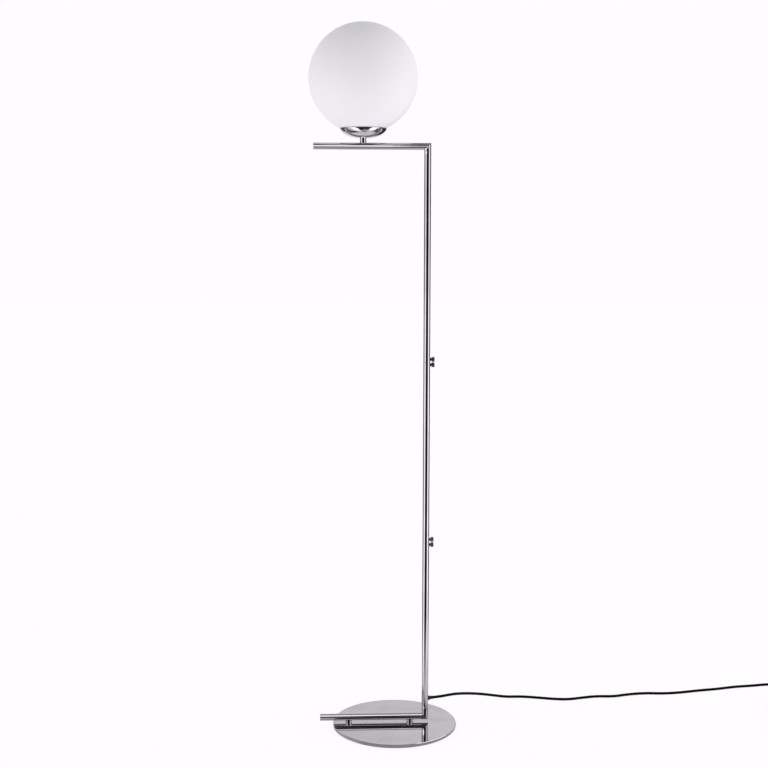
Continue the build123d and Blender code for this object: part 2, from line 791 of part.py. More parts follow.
# ------------------------------------------------------------------ grommet and cord
with BuildPart() as cord_grommet:
    section_normal = (exit_direction[1], -exit_direction[0], 0)
    with BuildSketch(Plane(origin=exit_centre, x_dir=exit_direction, z_dir=section_normal)):
        with BuildLine():
            Polyline(
                (0, 0),
                (0, grommet_flange_diameter / 2),
                (tube_radius, grommet_flange_diameter / 2),
                (tube_radius + grommet_cone_length, grommet_neck_diameter / 2),
                (cord_exit_reach, grommet_tip_diameter / 2),
                (cord_exit_reach, 0),
                close=True,
            )
        make_face()
    revolve(axis=Axis(exit_centre, exit_direction))
    with BuildSketch(post_level(cord_exit_height - grommet_flange_diameter)):
        Circle(tube_radius)
    extrude(amount=2 * grommet_flange_diameter, mode=Mode.SUBTRACT)
    with BuildSketch(Plane(origin=along_exit(grommet_start), z_dir=exit_direction)):
        Circle(grommet_shank_diameter / 2)
    extrude(amount=tube_radius - grommet_start)
cord_grommet.part.label = "cord_grommet"
export_step(cord_grommet.part, "parts/cord_grommet.step")

# Route of the cord to the foot switch. It leaves the grommet level, falls in one easy curve
# behind the base, and on the floor it wanders as a cord does that was unrolled by hand.
floor_cord_route = [
    along_exit(cord_exit_reach),
    along_exit(cord_exit_reach + cord_exit_straight),
    (106, 17, 53.4),
    (121, 34, 49.4),
    (139, 58, 41.6),
    (163, 85.5, 31.2),
    (190, 110.5, 20.2),
    (214, 129, 10.5),
    (241, 141, cord_radius),
    (271, 142, cord_radius),
    (304, 134, cord_radius),
    (340, 123.5, cord_radius),
    (368, 121, cord_radius),
    (398, 130, cord_radius),
    (430, 137.5, cord_radius),
    (464, 134, cord_radius),
    (498, 146, cord_radius),
    (536, 151.5, cord_radius),
    (570, 147.5, cord_radius),
    (606, 151, cord_radius),
    (650, 162.5, cord_radius),
    (695, 170.5, cord_radius),
    (735, 182.5, cord_radius),
    (770, 186.5, cord_radius),
    (806, 194, cord_radius),
    (827, 193, cord_radius),
    (844, 184.5, cord_radius),
    (855.5, 170.5, 4.9),
    (switch_x, 157, switch_base_height),
    (switch_x, switch_back + boot_length, switch_base_height),
]

# Route of the cord from the foot switch down to the start of the coil on the floor.
tail_cord_route = [
    (switch_x, switch_front - boot_length, switch_base_height),
    (switch_x, 22, switch_base_height),
    (switch_x, 6, cord_radius),
    (switch_x, coil_y + coil_lead_in, cord_radius),
]


def corner_radii(name, points):
    """Arc radius at each inner point of a route: as large as its two runs allow."""
    corners = [Vector(*point) for point in points]
    radii = []
    for before, here, after in zip(corners, corners[1:], corners[2:]):
        turn = radians((here - before).get_angle(after - here))
        shorter = min((here - before).length, (after - here).length)
        radii.append(0.45 * shorter / tan(turn / 2))
    print(name, "radii:", [round(radius, 1) for radius in radii])
    return radii


for name, points in (("floor_cord", floor_cord_route), ("tail_cord", tail_cord_route)):
    with BuildPart() as cord_tube:
        with BuildLine() as cord_path:
            FilletPolyline(*points, radius=corner_radii(name, points))
        with BuildSketch(Plane(origin=cord_path.line @ 0, z_dir=cord_path.line % 0)):
            Circle(cord_radius)
        sweep(path=cord_path.line)
    cord_length = cord_path.wires()[0].length
    section_times_length = pi * cord_radius**2 * cord_length
    print(name, "length:", round(cord_length, 1))
    print(name, "volume share:", round(cord_tube.part.volume / section_times_length, 4))
    cord_tube.part.label = name
    export_step(cord_tube.part, f"parts/{name}.step")

with BuildPart() as cord_coil:
    with BuildSketch(Plane(origin=(switch_x, coil_y, cord_radius), z_dir=(0, 1, 0))):
        Circle(coil_end_radius)
    extrude(amount=coil_lead_in)
    with BuildSketch(Plane(origin=(plug_x, coil_y, plug_axis_height), z_dir=(0, 1, 0))):
        Circle(coil_end_radius)
    extrude(amount=coil_lead_out)
    with BuildSketch(Plane(origin=(coil_x, coil_y, 0), x_dir=(1, 0, 0), z_dir=(0, -1, 0))):
        with Locations((coil_radius, coil_height / 2)):
            RectangleRounded(coil_width, coil_height, coil_edge)
    revolve(axis=Axis((coil_x, coil_y, 0), (0, 0, 1)))
cord_coil.part.label = "cord_coil"
export_step(cord_coil.part, "parts/cord_coil.step")


def boot_outline(inside):
    """Half section of a ribbed strain relief: x runs from its root to its tip, y is its radius."""
    points = [(-inside, 0)]
    if inside:
        points += [
            (-inside, boot_radius + boot_collar),
            (boot_collar_length - inside, boot_radius + boot_collar),
            (boot_collar_length - inside, boot_radius),
        ]
    else:
        points += [(0, boot_radius)]
    rib = boot_length / (2 * boot_ribs + 1)
    taper = (boot_radius - boot_tip_diameter / 2) / boot_length
    for index in range(1, 2 * boot_ribs, 2):
        start, end = index * rib, (index + 1) * rib
        points += [
            (start, boot_radius - taper * start),
            (start, boot_radius - taper * start - boot_rib_depth),
            (end, boot_radius - taper * end - boot_rib_depth),
            (end, boot_radius - taper * end),
        ]
    return points + [(boot_length, boot_tip_diameter / 2), (boot_length, 0)]


boot_inside = switch_wall + boot_collar_length + seat_clearance
boots = {
    "switch_inlet_boot": (switch_x, switch_back, switch_base_height, 1, boot_inside),
    "switch_outlet_boot": (switch_x, switch_front, switch_base_height, -1, boot_inside),
    "plug_boot": (plug_x, plug_back, plug_axis_height, -1, 0),
}
for name, (x, y, height, direction, inside) in boots.items():
    with BuildPart() as boot:
        root = Plane(origin=(x, y, height), x_dir=(0, direction, 0), z_dir=(direction, 0, 0))
        with BuildSketch(root):
            with BuildLine():
                Polyline(*boot_outline(inside), close=True)
            make_face()
        revolve(axis=Axis((x, y, height), (0, 1, 0)))
    boot.part.label = name
    export_step(boot.part, f"parts/{name}.step")

# ------------------------------------------------------------------ foot switch
switch_plane = Plane(origin=(switch_x, switch_y, 0))
boss_places = [(boss_x, boss_y), (-boss_x, -boss_y)]
boot_hole_plane = Plane(
    origin=(switch_x, switch_front, switch_base_height), x_dir=(1, 0, 0), z_dir=(0, 1, 0)
)

with BuildPart() as switch_base:
    with BuildSketch(switch_plane):
        RectangleRounded(switch_width, switch_length, switch_corner)
    extrude(amount=switch_base_height)
    with BuildSketch(switch_plane.offset(switch_wall)):
        RectangleRounded(
            switch_width - 2 * switch_wall,
            switch_length - 2 * switch_wall,
            switch_corner - switch_wall,
        )
        with Locations(*boss_places):
            Circle(boss_diameter / 2, mode=Mode.SUBTRACT)
    extrude(amount=switch_base_height, mode=Mode.SUBTRACT)
    with BuildSketch(switch_plane):
        with Locations(*boss_places):
            Circle(case_screw_diameter / 2 + thread_clearance)
    extrude(amount=switch_base_height, mode=Mode.SUBTRACT)
    with BuildSketch(switch_plane):
        with Locations(*boss_places):
            Circle(case_screw_head_diameter / 2 + thread_clearance)
    extrude(amount=case_screw_recess + case_screw_head_height, mode=Mode.SUBTRACT)
    with BuildSketch(boot_hole_plane):
        Circle(boot_radius)
    extrude(amount=switch_length, mode=Mode.SUBTRACT)
switch_base.part.label = "switch_base"
export_step(switch_base.part, "parts/switch_base.step")

with BuildPart() as switch_cover:
    with BuildSketch(switch_plane.offset(switch_base_height)):
        RectangleRounded(switch_width, switch_length, switch_corner)
    extrude(amount=switch_cover_height)
    fillet(switch_cover.edges().group_by(Axis.Z)[-1], radius=switch_edge)
    with BuildSketch(switch_plane.offset(switch_base_height)):
        RectangleRounded(
            switch_width - 2 * switch_wall,
            switch_length - 2 * switch_wall,
            switch_corner - switch_wall,
        )
        with Locations(*boss_places):
            Circle(boss_diameter / 2, mode=Mode.SUBTRACT)
    extrude(amount=switch_cover_height - switch_wall, mode=Mode.SUBTRACT)
    with BuildSketch(switch_plane.offset(switch_base_height)):
        with Locations(*boss_places):
            Circle(case_screw_diameter / 2 + thread_clearance)
    extrude(amount=case_screw_grip, mode=Mode.SUBTRACT)
    with BuildSketch(switch_plane.offset(switch_top)):
        Circle(button_diameter / 2 + button_clearance)
    extrude(amount=-switch_cover_height, mode=Mode.SUBTRACT)
    with BuildSketch(boot_hole_plane):
        Circle(boot_radius)
    extrude(amount=switch_length, mode=Mode.SUBTRACT)
switch_cover.part.label = "switch_cover"
export_step(switch_cover.part, "parts/switch_cover.step")

flange_top = switch_top - switch_wall - seat_clearance
flange_bottom = flange_top - button_flange_thickness
button_top = switch_top + button_height
button_ceiling = button_top - button_roof
carrier_top = switch_wall + carrier_height

with BuildPart() as switch_button:
    with BuildSketch(switch_plane.offset(flange_bottom)):
        Circle(button_diameter / 2)
    extrude(amount=button_top - flange_bottom)
    fillet(switch_button.edges().group_by(Axis.Z)[-1], radius=button_edge)
    with BuildSketch(switch_plane.offset(flange_bottom)):
        Circle(button_diameter / 2 + button_flange)
    extrude(amount=button_flange_thickness)
    with BuildSketch(switch_plane.offset(flange_bottom)):
        Circle(button_diameter / 2 - button_wall)
    extrude(amount=button_ceiling - flange_bottom, mode=Mode.SUBTRACT)
switch_button.part.label = "switch_button"
export_step(switch_button.part, "parts/switch_button.step")

with BuildPart() as switch_carrier:
    with BuildSketch(switch_plane.offset(switch_wall)):
        Rectangle(carrier_width, carrier_length)
    extrude(amount=carrier_height)
switch_carrier.part.label = "switch_carrier"
export_step(switch_carrier.part, "parts/switch_carrier.step")

with BuildPart() as switch_spring:
    spring_bottom = carrier_top + spring_wire / 2 + face_clearance
    spring_height = button_ceiling - spring_wire / 2 - face_clearance - spring_bottom
    with BuildLine() as spring_path:
        Helix(
            pitch=spring_height / spring_turns,
            height=spring_height,
            radius=spring_diameter / 2,
            center=(switch_x, switch_y, spring_bottom),
        )
    with BuildSketch(Plane(origin=spring_path.line @ 0, z_dir=spring_path.line % 0)):
        Circle(spring_wire / 2)
    sweep(path=spring_path.line)
switch_spring.part.label = "switch_spring"
export_step(switch_spring.part, "parts/switch_spring.step")

with BuildPart() as switch_screws:
    with BuildSketch(switch_plane.offset(case_screw_recess)):
        with Locations(*boss_places):
            Circle(case_screw_head_diameter / 2)
    extrude(amount=case_screw_head_height)
    with BuildSketch(switch_plane.offset(case_screw_recess)):
        with Locations(*boss_places):
            Circle(case_screw_diameter / 2)
    extrude(amount=switch_base_height + case_screw_grip - 2 * case_screw_recess)
switch_screws.part.label = "switch_screws"
export_step(switch_screws.part, "parts/switch_screws.step")

# ------------------------------------------------------------------ plug
pin_plane = Plane(origin=(plug_x, plug_face, plug_axis_height), x_dir=(-1, 0, 0), z_dir=(0, 1, 0))
pin_places = [(-pin_spacing / 2, 0), (pin_spacing / 2, 0)]

with BuildPart() as plug_body:
    with BuildSketch(Plane(origin=(plug_x, plug_back, 0))) as plug_outline:
        with BuildLine():
            Polyline(
                (-plug_tail_width / 2, 0),
                (plug_tail_width / 2, 0),
                (plug_width / 2, plug_shoulder),
                (plug_width / 2, plug_length),
                (-plug_width / 2, plug_length),
                (-plug_width / 2, plug_shoulder),
                close=True,
            )
        make_face()
        fillet(plug_outline.vertices().group_by(Axis.Y)[1], radius=plug_corner)
    extrude(amount=plug_thickness)
    level_edges = plug_body.edges().group_by(Axis.Z)
    fillet(level_edges[0] + level_edges[-1], radius=plug_edge)
    with BuildSketch(pin_plane):
        with Locations(*pin_places):
            Circle(pin_diameter / 2)
    extrude(amount=-pin_root, mode=Mode.SUBTRACT)
plug_body.part.label = "plug_body"
export_step(plug_body.part, "parts/plug_body.step")

with BuildPart() as plug_pins:
    with BuildSketch(pin_plane.offset(-pin_root)):
        with Locations(*pin_places):
            Circle(pin_diameter / 2)
    extrude(amount=pin_root + pin_length)
    fillet(plug_pins.edges().group_by(Axis.Y)[-1], radius=pin_round)
plug_pins.part.label = "plug_pins"
export_step(plug_pins.part, "parts/plug_pins.step")
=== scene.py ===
import json
import math

import bpy
from mathutils import Matrix, Vector


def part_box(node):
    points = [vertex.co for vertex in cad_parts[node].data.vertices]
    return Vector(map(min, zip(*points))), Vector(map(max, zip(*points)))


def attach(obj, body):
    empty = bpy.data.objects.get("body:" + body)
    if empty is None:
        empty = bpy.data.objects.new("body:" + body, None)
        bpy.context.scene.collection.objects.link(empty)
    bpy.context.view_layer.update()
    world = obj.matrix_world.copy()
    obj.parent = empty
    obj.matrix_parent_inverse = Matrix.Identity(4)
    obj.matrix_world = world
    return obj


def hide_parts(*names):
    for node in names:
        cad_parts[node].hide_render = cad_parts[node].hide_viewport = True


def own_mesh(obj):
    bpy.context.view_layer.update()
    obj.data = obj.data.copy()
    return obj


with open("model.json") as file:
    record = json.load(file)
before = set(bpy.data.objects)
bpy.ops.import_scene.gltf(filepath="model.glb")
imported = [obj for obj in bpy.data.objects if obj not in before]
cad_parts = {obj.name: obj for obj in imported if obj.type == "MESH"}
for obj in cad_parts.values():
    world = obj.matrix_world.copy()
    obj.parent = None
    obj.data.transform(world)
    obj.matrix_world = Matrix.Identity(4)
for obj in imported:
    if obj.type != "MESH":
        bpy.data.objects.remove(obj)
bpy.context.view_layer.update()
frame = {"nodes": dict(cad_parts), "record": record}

# Globe floor lamp. Metres, +Z up. The front of the lamp faces -Y and its arm points to -X.

# ------------------------------------------------------------------ camera
PHOTO_SIZE = 768  # pixels, both ways
FOCAL_LENGTH_PIXELS = 1336.727
SENSOR_WIDTH = 36.0  # millimetres
CAMERA_PLACE = Vector((-0.132790, -2.529631, 0.980483))
CAMERA_AZIMUTH = math.radians(2.521)
CAMERA_PITCH = math.radians(6.851)  # downwards
CAMERA_ROLL = math.radians(0.080)


def add_camera():
    """The camera at the photograph's viewing angle."""
    level = Vector((math.sin(CAMERA_AZIMUTH), math.cos(CAMERA_AZIMUTH), 0))
    forward = level * math.cos(CAMERA_PITCH) - Vector((0, 0, math.sin(CAMERA_PITCH)))
    right = Vector((math.cos(CAMERA_AZIMUTH), -math.sin(CAMERA_AZIMUTH), 0))
    up = right.cross(forward)
    tilted_right = right * math.cos(CAMERA_ROLL) + up * math.sin(CAMERA_ROLL)
    tilted_up = up * math.cos(CAMERA_ROLL) - right * math.sin(CAMERA_ROLL)
    turn = Matrix((tilted_right, tilted_up, -forward)).transposed()
    data = bpy.data.cameras.new("camera")
    data.sensor_width = SENSOR_WIDTH
    data.lens = FOCAL_LENGTH_PIXELS * SENSOR_WIDTH / PHOTO_SIZE
    data.clip_end = 100
    camera = bpy.data.objects.new("camera", data)
    camera.matrix_world = Matrix.Translation(CAMERA_PLACE) @ turn.to_4x4()
    bpy.context.scene.collection.objects.link(camera)
    bpy.context.scene.camera = camera


# ------------------------------------------------------------------ node helpers
def add_node(tree, kind, inputs=None, **settings):
    """A new node with its settings and its inputs: a socket makes a link, anything else is a value."""
    node = tree.nodes.new(kind)
    for key, value in settings.items():
        setattr(node, key, value)
    for key, value in (inputs or {}).items():
        if isinstance(value, bpy.types.NodeSocket):
            tree.links.new(value, node.inputs[key])
        else:
            node.inputs[key].default_value = value
    return node


def math_node(tree, operation, first, second=0.0):
    """The result of one math operation on two sockets or numbers."""
    return add_node(tree, "ShaderNodeMath", {0: first, 1: second}, operation=operation).outputs[0]


def vector_node(tree, operation, first, second, output):
    """The result of one operation on two vectors."""
    inputs = {0: first, 1: second}
    return add_node(tree, "ShaderNodeVectorMath", inputs, operation=operation).outputs[output]


def ramp_between(tree, value, low, high, out_low=0.0, out_high=1.0, smooth=False):
    """A value mapped from one range to another, and held at its ends."""
    kind = "SMOOTHSTEP" if smooth else "LINEAR"
    inputs = {"Value": value, "From Min": low, "From Max": high, "To Min": out_low, "To Max": out_high}
    return add_node(tree, "ShaderNodeMapRange", inputs, interpolation_type=kind).outputs["Result"]


def mix_values(tree, factor, first, second):
    """A share of the way from one value to another."""
    inputs = {"Factor": factor, "A": first, "B": second}
    return add_node(tree, "ShaderNodeMix", inputs, data_type="FLOAT").outputs["Result"]


def mix_colours(tree, factor, first, second):
    """A share of the way from one fixed colour to another."""
    # A mix node keeps its colours in sockets 6 and 7, and gives their mix in socket 2.
    inputs = {"Factor": factor, 6: (*first, 1), 7: (*second, 1)}
    return add_node(tree, "ShaderNodeMix", inputs, data_type="RGBA").outputs[2]


def noise(tree, vector, scale, detail=2.0, stretch=(1, 1, 1)):
    """Noise in object space, from 0 to 1. A small stretch value draws it out along that axis."""
    mapping = add_node(tree, "ShaderNodeMapping", {"Vector": vector, "Scale": stretch})
    inputs = {"Vector": mapping.outputs[0], "Scale": scale, "Detail": detail}
    return add_node(tree, "ShaderNodeTexNoise", inputs).outputs["Fac"]


def steps(tree, value, stops):
    """A level that follows stops of (place, level) from 0 to 1, with straight lines between them."""
    ramp = add_node(tree, "ShaderNodeValToRGB", {"Fac": value})
    ramp.color_ramp.interpolation = "LINEAR"
    elements = ramp.color_ramp.elements
    while len(elements) < len(stops):
        elements.new(0.5)
    for element, (place, level) in zip(elements, sorted(stops)):
        element.position = place
        element.color = (level, level, level, 1)
    return add_node(tree, "ShaderNodeSeparateColor", {"Color": ramp.outputs["Color"]}).outputs["Red"]


# ------------------------------------------------------------------ studio
BACKGROUND = (1.0, 0.973, 1.0)
BRIGHTEST = 2.0  # the ramps hold levels as a share of this
# What polished metal sees round the lamp: degrees from the camera's side, positive to the right.
WALLS = [
    (-180, 1.1), (-150, 1.1), (-142, 0.12), (-106, 0.08), (-98, 0.6), (-82, 0.9), (-76, 1.5),
    (-68, 1.9), (-42, 1.9), (-35, 0.02), (36, 0.02), (43, 1.1), (49, 2.0), (78, 2.0), (86, 0.9),
    (92, 0.05), (165, 0.05), (172, 0.8), (180, 1.1),
]
# And overhead: degrees up from the camera's side, over the top, to the back.
OVERHEAD = [
    (0, 0.10), (40, 0.10), (52, 0.4), (72, 0.4), (84, 0.3), (112, 0.3), (124, 0.6), (136, 1.15),
    (147, 1.25), (153, 1.12), (180, 1.12),
]
# Where the walls give way to it: degrees up from the camera's side, and above the horizon elsewhere.
FRONT_WALL_TOP = (40.0, 50.0)
SIDE_WALL_TOP = (3.0, 9.0)
# A round window up on the right, for the plate's edge.
WINDOW_DIRECTION = Vector((0.707, 0.025, 0.707)).normalized()
WINDOW_LEVEL = 2.2
WINDOW_EDGE = (29.0, 21.0)  # degrees from its middle, where it starts and where it is full

# The floor as polished metal sees it: plain in an oval round the lamp, then the walls' pattern.
NEAR_FLOOR = 0.88
NEAR_FLOOR_CENTRE = Vector((0.10, 0.50, 0))
NEAR_FLOOR_SQUEEZE = Vector((2.2, 1, 1))  # the oval is this much narrower than it is deep
NEAR_FLOOR_END = 0.58  # metres from its centre, front to back, where the plain floor ends
FAR_FLOOR_START = 1.30  # and where the pattern is full
PLATE_SHADE = 0.45  # beside the base plate
PLATE_SHADE_END = (0.030, 0.080)  # metres past the plate's edge
# And as all else sees it.
FLOOR_REACH = 14.0  # metres from its middle to each side
FLOOR_GLOW = 0.90
FLOOR_WHITENESS = 0.16

# The soft light on all that is matt: a plain level, a slope along X, Y and Z, and brighter sides.
SOFT_LEVEL = 1.02
SOFT_SLOPE = Vector((0.20, 0.10, -0.79))
SOFT_SIDES = 1.25


def round_angle(tree, across, towards):
    """The angle from one axis towards another as a share of a full turn, 0.5 at the first."""
    angle = math_node(tree, "ARCTAN2", across, towards)
    return add_node(tree, "ShaderNodeMath", {0: angle, 1: 1 / (2 * math.pi), 2: 0.5},
                    operation="MULTIPLY_ADD").outputs[0]


def studio_level(tree, turn, levels):
    """Brightness at an angle, a share of a full turn, from levels at angles in degrees."""
    stops = [(0.5 + angle / 360, level / BRIGHTEST) for angle, level in levels]
    return math_node(tree, "MULTIPLY", steps(tree, turn, stops), BRIGHTEST)


def wall_level(tree, x, y):
    """Brightness of the studio's walls in a direction or beyond a place."""
    azimuth = round_angle(tree, x, math_node(tree, "MULTIPLY", y, -1.0))
    return studio_level(tree, azimuth, WALLS)


def add_world():
    """White to the camera, a studio of dark and bright walls to metal, and soft light for the rest."""
    world = bpy.data.worlds.new("studio")
    world.use_nodes = True
    bpy.context.scene.world = world
    tree = world.node_tree
    tree.nodes.clear()
    direction = add_node(tree, "ShaderNodeTexCoord").outputs["Generated"]
    parts = add_node(tree, "ShaderNodeSeparateXYZ", {"Vector": direction})
    x, y, z = (parts.outputs[axis] for axis in "XYZ")

    over = round_angle(tree, z, math_node(tree, "MULTIPLY", y, -1.0))
    front_low, front_high = (0.5 + angle / 360 for angle in FRONT_WALL_TOP)
    side_low, side_high = (math.sin(math.radians(angle)) for angle in SIDE_WALL_TOP)
    upwards = math_node(tree, "MULTIPLY", ramp_between(tree, over, front_low, front_high, smooth=True),
                        ramp_between(tree, z, side_low, side_high, smooth=True))
    overhead = studio_level(tree, over, OVERHEAD)
    seen_by_metal = mix_values(tree, upwards, wall_level(tree, x, y), overhead)
    facing = vector_node(tree, "DOT_PRODUCT", direction, WINDOW_DIRECTION, "Value")
    window_low, window_high = (math.cos(math.radians(angle)) for angle in WINDOW_EDGE)
    window = ramp_between(tree, facing, window_low, window_high, 0, WINDOW_LEVEL, smooth=True)
    seen_by_metal = math_node(tree, "MAXIMUM", seen_by_metal, window)

    slope = vector_node(tree, "DOT_PRODUCT", direction, SOFT_SLOPE, "Value")
    sides = math_node(tree, "MULTIPLY", math_node(tree, "MULTIPLY", x, x), SOFT_SIDES)
    soft = math_node(tree, "ADD", math_node(tree, "ADD", slope, sides), SOFT_LEVEL)

    ray = add_node(tree, "ShaderNodeLightPath")
    level = mix_values(tree, ray.outputs["Is Glossy Ray"], soft, seen_by_metal)
    light = add_node(tree, "ShaderNodeBackground", {"Strength": level})
    white = add_node(tree, "ShaderNodeBackground", {"Color": (*BACKGROUND, 1)})
    seen = math_node(tree, "MAXIMUM", ray.outputs["Is Camera Ray"], ray.outputs["Is Transmission Ray"])
    mixed = add_node(tree, "ShaderNodeMixShader", {0: seen, 1: light.outputs[0], 2: white.outputs[0]})
    add_node(tree, "ShaderNodeOutputWorld", {"Surface": mixed.outputs[0]})


def add_floor():
    """A pale floor that keeps the lamp's faint shadow."""
    mesh = bpy.data.meshes.new("floor")
    signs = ((-1, -1), (1, -1), (1, 1), (-1, 1))
    corners = [(sign_x * FLOOR_REACH, sign_y * FLOOR_REACH, 0) for sign_x, sign_y in signs]
    mesh.from_pydata(corners, [], [(0, 1, 2, 3)])
    floor = bpy.data.objects.new("floor", mesh)
    bpy.context.scene.collection.objects.link(floor)

    material = bpy.data.materials.new("floor")
    material.use_nodes = True
    tree = material.node_tree
    tree.nodes.clear()
    place = add_node(tree, "ShaderNodeTexCoord").outputs["Object"]
    parts = add_node(tree, "ShaderNodeSeparateXYZ", {"Vector": place})
    plate_low, plate_high = (Vector(corner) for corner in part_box("base_plate"))
    plate_centre = (plate_low + plate_high) / 2
    plate_radius = (plate_high.x - plate_low.x) / 2
    plate_centre.z = 0
    shade_start, shade_end = (plate_radius + gap for gap in PLATE_SHADE_END)
    from_plate = vector_node(tree, "DISTANCE", place, plate_centre, "Value")
    near = ramp_between(tree, from_plate, shade_start, shade_end, PLATE_SHADE, NEAR_FLOOR, smooth=True)
    squeezed = vector_node(tree, "MULTIPLY", place, NEAR_FLOOR_SQUEEZE, "Vector")
    squeezed_centre = NEAR_FLOOR_CENTRE * NEAR_FLOOR_SQUEEZE
    from_centre = vector_node(tree, "DISTANCE", squeezed, squeezed_centre, "Value")
    away = ramp_between(tree, from_centre, NEAR_FLOOR_END, FAR_FLOOR_START, smooth=True)
    walls = wall_level(tree, parts.outputs["X"], parts.outputs["Y"])
    for_metal = add_node(tree, "ShaderNodeEmission", {"Strength": mix_values(tree, away, near, walls)})
    glow = add_node(tree, "ShaderNodeEmission", {"Color": (*BACKGROUND, 1), "Strength": FLOOR_GLOW})
    pale = (FLOOR_WHITENESS, FLOOR_WHITENESS, FLOOR_WHITENESS, 1)
    lit = add_node(tree, "ShaderNodeBsdfDiffuse", {"Color": pale})
    for_rest = add_node(tree, "ShaderNodeAddShader", {0: glow.outputs[0], 1: lit.outputs[0]})
    ray = add_node(tree, "ShaderNodeLightPath")
    mixed = add_node(tree, "ShaderNodeMixShader",
                     {0: ray.outputs["Is Glossy Ray"], 1: for_rest.outputs[0], 2: for_metal.outputs[0]})
    add_node(tree, "ShaderNodeOutputMaterial", {"Surface": mixed.outputs[0]})
    mesh.materials.append(material)


# ------------------------------------------------------------------ light strips
# Rows of light strips along the two level tubes. A row has its tube, degrees up from the front,
# distance from the tube's middle line and width, and then each strip's ends along X and brightness.
STRIP_ROWS = [
    ("upper_arm", 4.0, 0.016, 0.0093,
     [(-0.160, -0.006, 1.5), (-0.006, 0.010, 1.25), (0.010, 0.026, 1.0), (0.026, 0.042, 0.75),
      (0.042, 0.066, 0.6)]),
    ("upper_arm", -45.0, 0.016, 0.0065, [(-0.160, 0.056, 0.50)]),
    ("lower_bar", 51.6, 0.020, 0.0106, [(-0.170, 0.055, 1.35)]),
]
STRIP_POWER = 4  # watts per square metre of a strip that shows with a brightness of 1


def add_strips(tube, angle, distance, width, spans):
    """A row of narrow light strips along a level tube, which show in metal and light nothing else."""
    low, high = (Vector(corner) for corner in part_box(tube))
    radius = (high.y - low.y) / 2
    outwards = Vector((0, -math.cos(math.radians(angle)), math.sin(math.radians(angle))))
    for start, end, level in spans:
        data = bpy.data.lights.new(tube + "_strip", "AREA")
        data.shape = "RECTANGLE"
        data.size = end - start
        data.size_y = width
        data.energy = level * STRIP_POWER * data.size * data.size_y
        strip = bpy.data.objects.new(tube + "_strip", data)
        middle = Vector(((start + end) / 2, low.y + radius, low.z + radius))
        strip.location = middle + outwards * distance
        strip.rotation_euler = (math.radians(90 - angle), 0, 0)
        strip.visible_camera = False
        strip.visible_diffuse = False
        strip.visible_transmission = False
        bpy.context.scene.collection.objects.link(strip)


# ------------------------------------------------------------------ finishes
# Scales of noise, as features per metre or so.
SMUDGE_SCALE = 14.0
STREAK_SCALE = 30.0
STREAK_STRETCH = (0.12, 1, 1)
HAIRLINE_SCALE = 900.0
MOULDED_CLOUD_SCALE = 45.0
ETCHING_SCALE = 1500.0
# The stretches of noise, from 0 to 1, over which a finish goes from one end to the other.
METAL_COLOUR_RANGE = (0.38, 0.62)
METAL_GLOSS_RANGE = (0.35, 0.7)
NOISE_RANGE = (0.3, 0.7)
ROUGHNESS_SPREAD = 0.06  # up and down, on rubber and plastic
FINE_RELIEF = 0.0001  # metres
GRAIN_RELIEF = 0.0002


def new_finish(name):
    """A material with its tree, its main shader and its object coordinates."""
    material = bpy.data.materials.new(name)
    material.use_nodes = True
    tree = material.node_tree
    shader = tree.nodes["Principled BSDF"]
    place = add_node(tree, "ShaderNodeTexCoord").outputs["Object"]
    return material, tree, shader, place


def set_bump(tree, shader, height, strength, distance):
    """Relief on a shader from a height."""
    inputs = {"Height": height, "Strength": strength, "Distance": distance}
    tree.links.new(add_node(tree, "ShaderNodeBump", inputs).outputs[0], shader.inputs["Normal"])


def polished_metal(name, dark, light, smooth, dull, grain=0.0, grain_stretch=(1, 1, 1)):
    """Polished metal with soft smudges in its colour and gloss, and hairline marks."""
    material, tree, shader, place = new_finish(name)
    shader.inputs["Metallic"].default_value = 1.0
    smudge = noise(tree, place, SMUDGE_SCALE, detail=3.0)
    streak = noise(tree, place, STREAK_SCALE, stretch=STREAK_STRETCH)
    mixed = mix_values(tree, 0.5, smudge, streak)
    tree.links.new(mix_colours(tree, ramp_between(tree, mixed, *METAL_COLOUR_RANGE), dark, light),
                   shader.inputs["Base Color"])
    tree.links.new(ramp_between(tree, smudge, *METAL_GLOSS_RANGE, smooth, dull),
                   shader.inputs["Roughness"])
    if grain:
        hairlines = noise(tree, place, HAIRLINE_SCALE, stretch=grain_stretch)
        set_bump(tree, shader, hairlines, grain, FINE_RELIEF)
    return material


def moulded(name, dark, light, roughness, grain_scale, grain, gloss=0.5):
    """Moulded rubber or plastic with a fine grain and small differences in its colour."""
    material, tree, shader, place = new_finish(name)
    shader.inputs["Specular IOR Level"].default_value = gloss
    cloud = noise(tree, place, MOULDED_CLOUD_SCALE, detail=3.0)
    tree.links.new(mix_colours(tree, cloud, dark, light), shader.inputs["Base Color"])
    smooth, dull = roughness - ROUGHNESS_SPREAD, roughness + ROUGHNESS_SPREAD
    tree.links.new(ramp_between(tree, cloud, *NOISE_RANGE, smooth, dull), shader.inputs["Roughness"])
    set_bump(tree, shader, noise(tree, place, grain_scale), grain, GRAIN_RELIEF)
    return material


def white_glass(name, dark, light, smooth, dull, cloud_scale, gloss=0.5, etching=0.0):
    """White glass that no light passes through, matt, with a faint cloudiness."""
    material, tree, shader, place = new_finish(name)
    shader.inputs["Specular IOR Level"].default_value = gloss
    cloud = noise(tree, place, cloud_scale)
    tree.links.new(mix_colours(tree, cloud, dark, light), shader.inputs["Base Color"])
    tree.links.new(ramp_between(tree, cloud, *NOISE_RANGE, smooth, dull), shader.inputs["Roughness"])
    if etching:
        set_bump(tree, shader, noise(tree, place, ETCHING_SCALE), etching, FINE_RELIEF)
    return material


